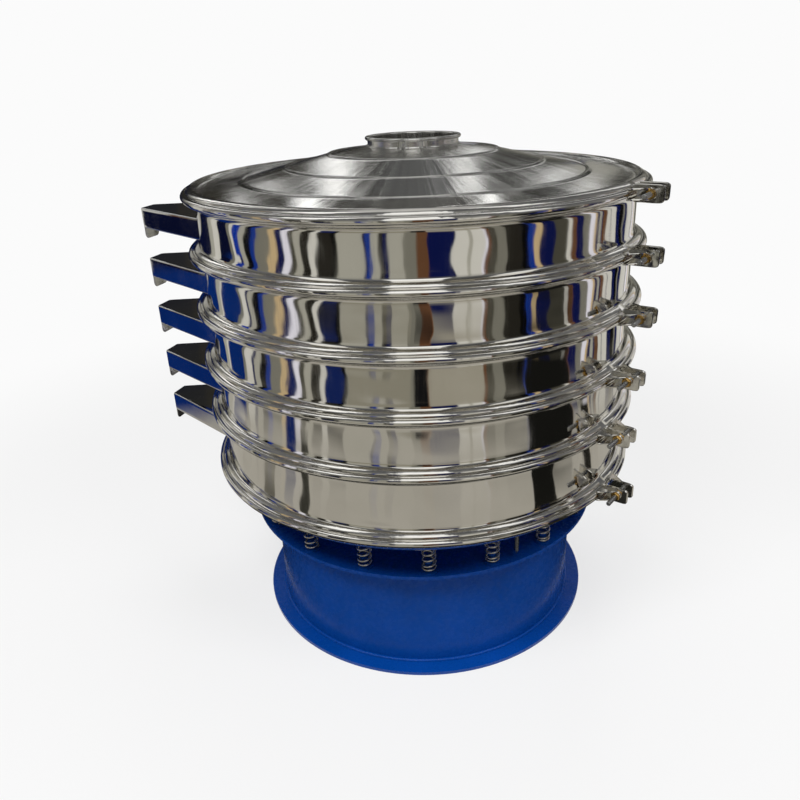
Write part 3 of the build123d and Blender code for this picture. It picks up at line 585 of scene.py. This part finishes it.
def outletShell(tier):
    shape = outletShape
    top = jointLevels[tier - 1] - shape["topDrop"]
    low = top - shape["height"]
    corners = [np.array(shape[key], float) for key in ("wallFront", "tipFront", "tipBack", "wallBack")]
    # section round the box: u runs front to back from 0 to 1, v is the height; the folds are quarter circles
    fold = np.radians(np.linspace(0, 90, 5))
    fold = np.stack([np.sin(fold), np.cos(fold)], 1) * shape["fold"]
    width = 120.0
    section = np.concatenate([
        [[0, y] for y in np.linspace(low + shape["fold"], top - shape["fold"], 9)],
        np.stack([shape["fold"] - fold[1:, 1][::-1] * 0 - fold[1:, 1], top - shape["fold"] + fold[1:, 0]], 1),
        [[x, top] for x in np.linspace(0, width, 13)[1:-1]],
        np.stack([width - shape["fold"] + fold[:-1, 0], top - shape["fold"] + fold[:-1, 1]], 1),
        [[width, y] for y in np.linspace(top - shape["fold"], low + shape["fold"], 9)],
        np.stack([width - shape["fold"] + fold[1:, 1], low + shape["fold"] - fold[1:, 0]], 1),
        [[x, low] for x in np.linspace(width, 0, 13)[1:-1]],
        np.stack([shape["fold"] - fold[:-1, 0], low + shape["fold"] - fold[:-1, 1]], 1)])
    along = np.concatenate([np.linspace(0, 1, 25), [1, 1]])
    shrink = np.concatenate([np.zeros(24), [0.3, 1.6, 3.5]])[:, None]
    share = section[None, :, 0] / width
    front = corners[0][None] + along[:, None] * (corners[1] - corners[0])[None]
    back = corners[3][None] + along[:, None] * (corners[2] - corners[3])[None]
    across = back - front
    span = np.linalg.norm(across, axis=1)
    # near each side the fold keeps its real size, so u is measured in mm from the nearer side
    near = np.where(share < 0.5, section[None, :, 0] / span[:, None], 1 - (width - section[None, :, 0]) / span[:, None])
    flat = np.isclose(section[:, 1], top) | np.isclose(section[:, 1], low)
    near = np.where(flat[None] & (section[None, :, 0] > shape["fold"]) & (section[None, :, 0] < width - shape["fold"]), share, near)
    plan = front[:, None] + near[..., None] * across[:, None]
    # past the tip the section closes in towards its middle, which rounds the tip's edges
    towards = (front + across / 2)[:, None] - plan
    plan = plan + shrink[..., None] * towards * 2 / span[:, None, None]
    height = section[None, :, 1] + shrink * ((top + low) / 2 - section[None, :, 1]) * 2 / shape["height"]
    # the root row is carried along its own line until it meets the round wall
    tip, root = plan[23], plan[0]
    way = root - tip
    a, b, c = (way ** 2).sum(1), 2 * (tip * way).sum(1), (tip ** 2).sum(1) - shape["wall"] ** 2
    reach = (-b - np.sqrt(b * b - 4 * a * c)) / (2 * a)
    ruled = np.linspace(0, 1, 24)[:, None, None]
    plan[:24] = (tip + reach[:, None] * way)[None] * (1 - ruled) + tip[None] * ruled
    points = np.concatenate([plan, height[..., None]], -1)
    count = len(section)
    middleRow = (points[:-1] + points[1:]) / 2
    centre = (middleRow + np.roll(middleRow, -1, 1)) / 2
    onFloor = np.isclose(section[:, 1], low) & np.isclose(np.roll(section[:, 1], -1), low)
    mouth = onFloor[None] & (centre[..., 0] < shape["tipFront"][0] + 60)
    mouth[24:] = False
    faces = [gridFaces(len(along), count, False, True, ~mouth), np.arange(count)[None] + (len(along) - 1) * count]
    return points.reshape(-1, 3), faces


def outletLip(tier):
    # the end plate below the tip: a rounded rectangle as wide as the tip, its lower corners rounded by 10 mm
    shape = outletShape
    low = jointLevels[tier - 1] - shape["topDrop"] - shape["height"]
    front, back = np.array(shape["tipFront"] + (0,), float), np.array(shape["tipBack"] + (0,), float)
    width = np.linalg.norm(back - front)
    turn = np.radians(np.linspace(0, 90, 7))
    corner = np.stack([np.sin(turn), np.cos(turn)], 1) * 10
    outline = np.concatenate([[[0.4, 6], [0.4, -16]], [10.4, -15.8] - corner[::-1] * [1, 1] * [1, 1],
                              [width - 10.4, -15.8] + corner * [1, -1], [[width - 0.4, -16], [width - 0.4, 6]]])
    along = (back - front) / width
    return placed(plate(outline, 0.2, 2.0, 0.4), front + [0, 0, low], along, (0, 0, 1))


for tier in range(1, 6):
    shell = makePiece(f"outletShell{tier}", [outletShell(tier)], "sieve", outletSteel, [f"outlet_{tier}"])
    fold = shell.modifiers.new("sheet", "SOLIDIFY")
    fold.thickness, fold.offset = outletShape["sheet"] * mm, -1
    edge = shell.modifiers.new("edges", "BEVEL")
    edge.width, edge.segments, edge.limit_method, edge.harden_normals = 0.5 * mm, 2, "ANGLE", True
    lip = makePiece(f"outletLip{tier}", [outletLip(tier)], "sieve", outletSteel)
print("outlets done")


# Weld beads of the base: rippled fillets where the wall meets its two rings
weldShape = {"wall": 378, "low": 8, "high": 271, "size": 4.2}


def baseWelds():
    angles = np.linspace(0, 2 * np.pi, 721)[:-1]
    beads = []
    for level, side in ((weldShape["low"], 1), (weldShape["high"], -1)):
        radius = weldShape["wall"] + 0.9
        path = np.stack([radius * np.cos(angles), radius * np.sin(angles), np.full(len(angles), level + side * 0.9)], 1)
        beads.append(tube(path, weldShape["size"] + 0.3 * np.sin(180 * angles), 10, closed=True))
    return beads


makePiece("baseWelds", baseWelds(), "base", bluePaint)
print("base welds done")


# Stage: a pale floor, soft lamps, and a room of cards that only reflections see
# card rows: radius, height, share of plain tone, tone; patches: from and to in degrees, first and last row, colour, strength
stageShape = {"floorRadius": 14000, "seed": 333,
              "cardColours": (("#0B0B0A", 9), ("#26241F", 7), ("#4A483F", 9), ("#7C7A70", 14), ("#ACAA9F", 19),
                              ("#D6D4CD", 15), ("#ECEAF6", 7), ("#0E1648", 9), ("#17358A", 5), ("#C9B188", 5), ("#664630", 4)),
              "cardRows": ((425, 2, 1, "#1E1E1C"), (860, 2, 1, "#2E2E2B"), (1050, 2, 1, "#B1ADA3"), (1500, 2, 0.85, "#B1ADA3"),
                           (1750, 2, 0.45, "#B1ADA3"), (2000, 2, 0.15, "#A8A498"), (2350, 2, 0, "#A8A498"),
                           (2350, 420, 0, "#A8A498"), (2350, 480, 0, "#A8A498"), (2350, 760, 0, "#A8A498"),
                           (2350, 800, 0, "#A8A498"), (2350, 1400, 0.5, "#7C7C78"), (2350, 1900, 0.9, "#707070"),
                           (2250, 2900, 0.95, "#646566"), (1500, 3000, 1, "#5A5B5C"), (900, 3000, 1, "#6A6A6A"),
                           (500, 3000, 1, "#BDBDBC"), (1, 3000, 1, "#D8D8D6")),
              "cardPatches": ((93, 150, 3, 7, "#0B2A6C", 1), (93, 150, 8, 10, "#0A0F2C", 1), (158, 172, 4, 7, "#0B2A6C", 1),
                              (163, 171, 8, 9, "#0A0F2C", 1), (178, 183, 8, 10, "#12349A", 1),
                              (98, 120, 11, 12, "#33312A", 1), (120, 134, 11, 14, "#2B2B29", 1),
                              (74, 97, 11, 12, "#55544F", 1), (98, 105, 13, 14, "#3A3A37", 1),
                              (104.5, 107.5, 12, 14, "#FFFFFF", 2.2), (114.5, 116, 12, 14, "#FFFFFF", 2.2),
                              (77.5, 79.5, 12, 14, "#FFFFFF", 2.2), (64.5, 66.5, 12, 14, "#FFFFFF", 1.6),
                              (54, 63, 11, 14, "#30302E", 1), (68, 74, 11, 14, "#3A3A37", 1),
                              (138, 143, 12, 14, "#FFFFFF", 1.6), (152, 155, 12, 14, "#FFFFFF", 1.6),
                              (36, 40, 12, 14, "#FFFFFF", 1.2), (200, 224, 13, 15, "#FFFFFF", 1.3),
                              (318, 340, 13, 15, "#FFFFFF", 1.1), (255, 285, 12, 14, "#FFFFFF", 1.2),
                              (321, 334, 2, 2, "#1A1A17", 1), (321, 346, 3, 6, "#171715", 1),
                              (203, 208, 3, 5, "#10245E", 1), (212, 216, 2, 3, "#3B3A34", 1),
                              (188, 195, 2, 2, "#5F5C52", 1), (226, 233, 5, 6, "#14245A", 1),
                              (236, 266, 5, 6, "#8F8B7D", 1), (268, 274, 5, 6, "#141416", 1),
                              (275, 299, 5, 6, "#A29D8F", 1), (354, 362, 2, 4, "#22211D", 1))}


def stageMaterial(name):
    material = bpy.data.materials.new(name)
    material.use_nodes = True
    tree = material.node_tree
    tree.nodes.clear()
    return material, tree, tree.nodes.new("ShaderNodeOutputMaterial")


def viewerRays(tree):
    # 1 for a ray from the camera, straight or by way of a mirror or glass
    ray = addNode(tree, "ShaderNodeLightPath")
    seen = addNode(tree, "ShaderNodeMath", {"operation": "MAXIMUM"},
                   {0: ray.outputs["Is Camera Ray"], 1: ray.outputs["Is Glossy Ray"]}).outputs[0]
    return addNode(tree, "ShaderNodeMath", {"operation": "MAXIMUM"},
                   {0: seen, 1: ray.outputs["Is Transmission Ray"]}).outputs[0]


def floorFinish():
    material, tree, output = stageMaterial("Pale floor")
    # near the machine 0.72 of what is seen is plain white and the rest takes its shadow; further out it is all plain white
    place = addNode(tree, "ShaderNodeTexCoord").outputs["Object"]
    far = addNode(tree, "ShaderNodeVectorMath", {"operation": "LENGTH"}, {0: place}).outputs["Value"]
    plain = addNode(tree, "ShaderNodeMapRange", {"interpolation_type": "SMOOTHSTEP"},
                    {"Value": far, "From Min": 0.9, "From Max": 2.6, "To Min": 0.72, "To Max": 1.0})
    share = addNode(tree, "ShaderNodeMath", {"operation": "MULTIPLY"}, {0: viewerRays(tree), 1: plain.outputs[0]})
    matt = addNode(tree, "ShaderNodeBsdfDiffuse", None, {"Color": linear("#DCDCDC")})
    glow = addNode(tree, "ShaderNodeEmission", None, {"Color": (1, 1, 1, 1), "Strength": 0.965})
    both = addNode(tree, "ShaderNodeMixShader", None, {0: share.outputs[0], 1: matt.outputs[0], 2: glow.outputs[0]})
    tree.links.new(both.outputs[0], output.inputs["Surface"])
    return material


radii = np.array([1, 300, 700, 1200, 2500, 6000, stageShape["floorRadius"]], float)
floorTurn = np.linspace(0, 2 * np.pi, 97)[:-1]
floorPoints, floorFaces = lathe(np.stack([radii, np.full(len(radii), -0.5)], 1)[::-1], floorTurn, closed=False)
floor = makePiece("paleFloor", [(floorPoints, floorFaces + [np.arange(96)[None] + 96 * (len(radii) - 1)])], material=floorFinish())


def reflectionCards():
    # a room of plain cards: a floor ring, a round wall and a ceiling, one column of colour for each degree
    shape = stageShape
    random = np.random.default_rng(shape["seed"])
    angles = np.radians(np.arange(0, 360, 0.5))
    degrees = np.degrees(angles)
    palette = np.array([linear(colour)[:3] for colour, share in shape["cardColours"]])
    shares = np.array([share for colour, share in shape["cardColours"]])
    picks = random.choice(len(palette), 200, p=shares / shares.sum())
    # pale and dark cards are wide, the coloured ones after them in the list narrow
    edges = np.cumsum((random.gamma(2.2, 2.1, 200) + 0.9) * np.where(picks > 5, 0.5, 1))
    streaks = palette[picks[np.searchsorted(edges, degrees)]]
    profile = np.array([row[:2] for row in shape["cardRows"]], float)
    blend = np.array([row[2] for row in shape["cardRows"]])[:, None, None]
    tone = np.array([linear(row[3])[:3] for row in shape["cardRows"]])[:, None, :]
    painted = streaks[None] * (1 - blend) + tone * blend
    for low, high, first, last, colour, strength in shape["cardPatches"]:
        inside = (degrees >= low) & (degrees <= high)
        painted[first:last + 1, inside] = np.array(linear(colour)[:3]) * strength
    points, faces = lathe(profile, angles, closed=False)
    cards = makePiece("reflectionCards", [(points, faces)], smooth=False)
    values = np.concatenate([painted.reshape(-1, 3), np.ones((len(points), 1))], 1)
    layer = cards.data.color_attributes.new("cardColour", "FLOAT_COLOR", "POINT")
    layer.data.foreach_set("color", values.ravel().astype(np.float32))
    material, tree, output = stageMaterial("Reflection cards")
    shade = addNode(tree, "ShaderNodeAttribute", {"attribute_name": "cardColour"})
    glow = addNode(tree, "ShaderNodeEmission", None, {"Color": shade.outputs["Color"], "Strength": 1.0})
    tree.links.new(glow.outputs[0], output.inputs["Surface"])
    cards.data.materials.append(material)
    cards.visible_camera = cards.visible_diffuse = cards.visible_shadow = cards.visible_transmission = False
    return cards


reflectionCards()

world = bpy.data.worlds.new("Studio")
bpy.context.scene.world = world
world.use_nodes = True
worldTree = world.node_tree
skyStrength = addNode(worldTree, "ShaderNodeMapRange", None,
                      {"Value": viewerRays(worldTree), "To Min": 0.22, "To Max": 0.965})
worldTree.links.new(skyStrength.outputs[0], worldTree.nodes["Background"].inputs["Strength"])
worldTree.nodes["Background"].inputs["Color"].default_value = (1, 1, 1, 1)

lamps = {"keyLamp": ((-0.9, -1.7, 2.9), (0, 0, 0.4), (1.4, 1.0), 75),
         "fillLamp": ((1.3, -1.5, 2.7), (0, 0, 0.4), (1.0, 1.0), 38),
         "topLamp": ((0.1, 0.9, 2.8), (0, 0, 1.0), (1.8, 1.0), 40)}
for name, (place, aim, size, power) in lamps.items():
    lamp = bpy.data.lights.new(name, "AREA")
    lamp.shape, lamp.size, lamp.size_y, lamp.energy = "RECTANGLE", size[0], size[1], power
    holder = bpy.data.objects.new(name, lamp)
    bpy.context.scene.collection.objects.link(holder)
    turn = (Vector(aim) - Vector(place)).to_track_quat("-Z", "Y").to_matrix().to_4x4()
    holder.matrix_world = Matrix.Translation(place) @ turn
    holder.visible_glossy = False

# Camera: where the photograph was taken from, worked out from the tiers' outlines
view = {"place": (-0.001, -1.6626, 1.2378), "pitch": 24.04, "yaw": -1.69, "roll": -2.28, "lens": 32.79}
pitch, yaw, roll = (np.radians(view[key]) for key in ("pitch", "yaw", "roll"))
forward = np.array([np.sin(yaw) * np.cos(pitch), np.cos(yaw) * np.cos(pitch), -np.sin(pitch)])
right = np.array([np.cos(yaw), -np.sin(yaw), 0])
up = np.cross(right, forward)
camera = bpy.data.objects.new("camera", bpy.data.cameras.new("camera"))
bpy.context.scene.collection.objects.link(camera)
axes = np.stack([np.cos(roll) * right + np.sin(roll) * up, np.cos(roll) * up - np.sin(roll) * right, -forward], 1)
camera.matrix_world = Matrix.Translation(view["place"]) @ Matrix(axes.tolist()).to_4x4()
camera.data.lens, camera.data.sensor_width = view["lens"], 36
camera.data.clip_start, camera.data.clip_end = 0.01, 100
bpy.context.scene.camera = camera
bpy.context.scene.view_settings.view_transform = "Standard"
print("stage done")
